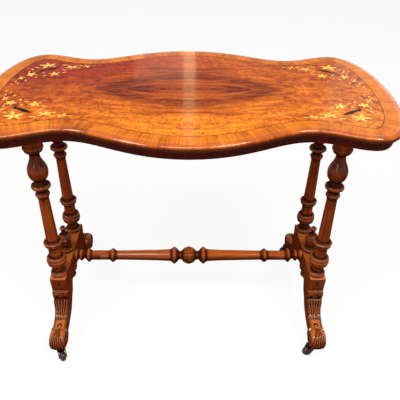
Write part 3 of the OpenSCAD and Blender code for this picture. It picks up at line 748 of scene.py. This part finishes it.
def finial_carving(co, normal):
    """Seven twisted lobes round the bulb, with a ring of petals, and four facets on the bud."""
    x, y, h = from_axis(co)
    turn = np.arctan2(y, x)
    bulb = step(h, 25, 31) * step(62 - h, 0, 8)
    bud = step(h, 72, 76)
    lobes = (0.5 + 0.5 * np.cos(7 * turn + 0.09 * (h - 45))) ** 2.2
    petals = np.exp(-((h - 43 - 2.5 * np.cos(7 * turn)) / 2.2) ** 2)
    facets = 1 - np.abs(np.cos(2 * turn)) ** 0.6
    return (bulb * (0.8 * lobes + 0.9 * petals) + bud * 1.2 * facets) * MM


def pendant_carving(co, normal):
    """Ten lobes round the two beads of a pendant."""
    x, y = from_axis(co)[:2]
    lobes = (0.5 + 0.5 * np.cos(10 * np.arctan2(y, x))) ** 2.5
    on_bead = step(np.hypot(x, y), 12, 15)
    return on_bead * 1.5 * lobes * MM


# Stretcher

def ball_carving(co, normal):
    """Reeds on both sides of the middle bead of the stretcher's ball, with a quirk at the bead."""
    ball_half, neck_r, bead_half = 23.5, 15, 3.4
    reeds_round, reed_cut, quirk_cut = 14, 1.5, 1.2
    axis_z = (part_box("stretcher")[0][2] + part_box("stretcher")[1][2]) / 2 / MM
    x = np.abs(co[:, 0]) / MM
    y = co[:, 1] / MM
    z = co[:, 2] / MM - axis_z
    reeds = reed_cut * (1 - np.abs(np.sin(reeds_round / 2 * np.arctan2(z, y))) ** 0.7)
    reeds = reeds * step(x, bead_half, bead_half + 1.5)
    quirk = quirk_cut * np.clip(1 - np.abs(x - bead_half) / 1.1, 0, 1)
    ball = (x < ball_half) * np.clip((np.hypot(y, z) - neck_r) / 3, 0, 1)
    return np.maximum(reeds, quirk) * ball * MM


for corner in CORNERS:
    leg = worked_copy("leg_" + corner, "carved_leg_" + corner, 1.0, leg_carving, leg_taper)
    stand_for(leg, "leg_" + corner, "walnut_carved")
    column = worked_copy("column_" + corner, "turned_column_" + corner, 1.15, axis=2)
    stand_for(column, "column_" + corner, "walnut_turned")
for end in ENDS:
    finial = worked_copy("finial_" + end, "carved_finial_" + end, 0.6, finial_carving, axis=2)
    stand_for(finial, "finial_" + end, "walnut_carved")
    pendant = worked_copy("pendant_" + end, "carved_pendant_" + end, 0.6, pendant_carving, axis=2)
    stand_for(pendant, "pendant_" + end, "walnut_carved")
stretcher = worked_copy("stretcher", "reeded_stretcher", 1.2, ball_carving, axis=0)
stand_for(stretcher, "stretcher", "walnut_stretcher")


# Floor, light and camera

def floor_material():
    """Pale paper sweep: white to the eye and in reflections, with a faint shadow."""
    material = bpy.data.materials.new("pale_floor")
    tree = blank(material)
    paper = add(tree, "BsdfDiffuse", {"Color": tone("#F4F4F4")})
    glow = add(tree, "Emission", {"Color": tone("#FFFFFF"), "Strength": 1.0})
    share = add(tree, "Math", [seen_rays(tree), 0.92], operation="MULTIPLY")
    sweep = add(tree, "MixShader", [share, paper, glow])
    add(tree, "OutputMaterial", {"Surface": sweep})
    return material


def floor():
    """A wide floor, most of it behind the table, where the camera looks."""
    bpy.ops.object.select_all(action="DESELECT")
    bpy.ops.mesh.primitive_plane_add(size=40, location=(0, 8, 0))
    plane = bpy.context.object
    plane.name = "floor"
    plane.data.materials.append(floor_material())


def lamp(name, at, look, size, power, colour="#FFFFFF"):
    """A soft rectangular lamp that lights and shines in the polish, and is not seen itself."""
    data = bpy.data.lights.new(name, "AREA")
    data.shape = "RECTANGLE"
    data.size, data.size_y = size
    data.energy = power
    data.color = tone(colour)[:3]
    light = bpy.data.objects.new(name, data)
    light.location = at
    light.visible_camera = False
    light.rotation_euler = (Vector(look) - Vector(at)).to_track_quat("-Z", "Y").to_euler()
    bpy.context.scene.collection.objects.link(light)


def feathered(name, at, look, size, power, colour):
    """Three lamps on one spot, each smaller than the last, whose reflection fades towards its edge."""
    shares = (1.0, 0.8, 0.6)
    whole = sum(share ** 2 for share in shares)
    for number, share in enumerate(shares):
        smaller = (size[0] * share, size[1] * share)
        lamp(f"{name}_{number}", at, look, smaller, power * share ** 2 / whole, colour)


def lamps():
    """Windows in front of the table, and behind it the three sheens that lie on its polished top."""
    lamp("key", (1.2, -1.3, 3.0), look=(0, 0, 0.5), size=(1.2, 0.5), power=66, colour="#FFF8F0")
    lamp("fill_left", (-1.7, -1.2, 2.9), look=(0, 0, 0.45), size=(0.8, 0.6), power=46)
    lamp("window_front", (-0.2, -1.7, 3.2), look=(0, 0, 0.3), size=(1.4, 0.7), power=40)
    lamp("low_window", (-1.1, -2.0, 1.3), look=(0, 0, 0.4), size=(0.4, 0.3), power=6, colour="#FFE0C0")
    near_top = (0, 0, 0.7)
    feathered("streak", (-0.01, 2.6, 2.1), near_top, size=(0.1, 1.9), power=6.4, colour="#FFC490")
    feathered("sheen_left", (-0.2, 2.6, 1.6), near_top, size=(0.48, 0.24), power=0.95, colour="#FFE2CC")
    feathered("sheen_right", (1.3, 2.0, 1.6), (0.3, 0, 0.7), size=(0.7, 1.1), power=7.5, colour="#FFE2C4")


def world():
    """A dim even light, seen as white behind the table and darker overhead, as in a studio."""
    sky = bpy.data.worlds.new("studio")
    bpy.context.scene.world = sky
    tree = blank(sky)
    up = add(tree, "SeparateXYZ", [add(tree, "TexCoord").outputs["Generated"]]).outputs["Z"]
    overhead = add(tree, "MapRange", [up, 0.25, 0.5, 1.0, 0.4], interpolation_type="SMOOTHSTEP")
    strength = add(tree, "Mix", {0: seen_rays(tree), 2: 0.18, 3: overhead}, data_type="FLOAT")
    background = add(tree, "Background", {"Color": tone("#FFFFFF"), "Strength": strength})
    add(tree, "OutputWorld", {"Surface": background})


def camera():
    """The photograph's camera, as fitted to matching points of the frame: metres, degrees and a lens in
    millimetres on a sensor 36 wide."""
    at = (0.006, -1.093, 1.171)
    pitch, yaw, tilt = (math.radians(angle) for angle in (35.466, 1.331, 0.962))
    forward = Vector((math.sin(yaw) * math.cos(pitch), math.cos(yaw) * math.cos(pitch), -math.sin(pitch)))
    level = Vector((math.cos(yaw), -math.sin(yaw), 0))
    upright = level.cross(forward)
    right = level * math.cos(tilt) + upright * math.sin(tilt)
    up = upright * math.cos(tilt) - level * math.sin(tilt)
    data = bpy.data.cameras.new("camera")
    data.lens = 43.08
    data.sensor_width = 36
    eye = bpy.data.objects.new("camera", data)
    turn = Matrix((right, up, -forward)).transposed().to_4x4()
    eye.matrix_world = Matrix.Translation(at) @ turn
    bpy.context.scene.collection.objects.link(eye)
    bpy.context.scene.camera = eye


floor()
lamps()
world()
camera()
bpy.context.scene.view_settings.view_transform = "Standard"
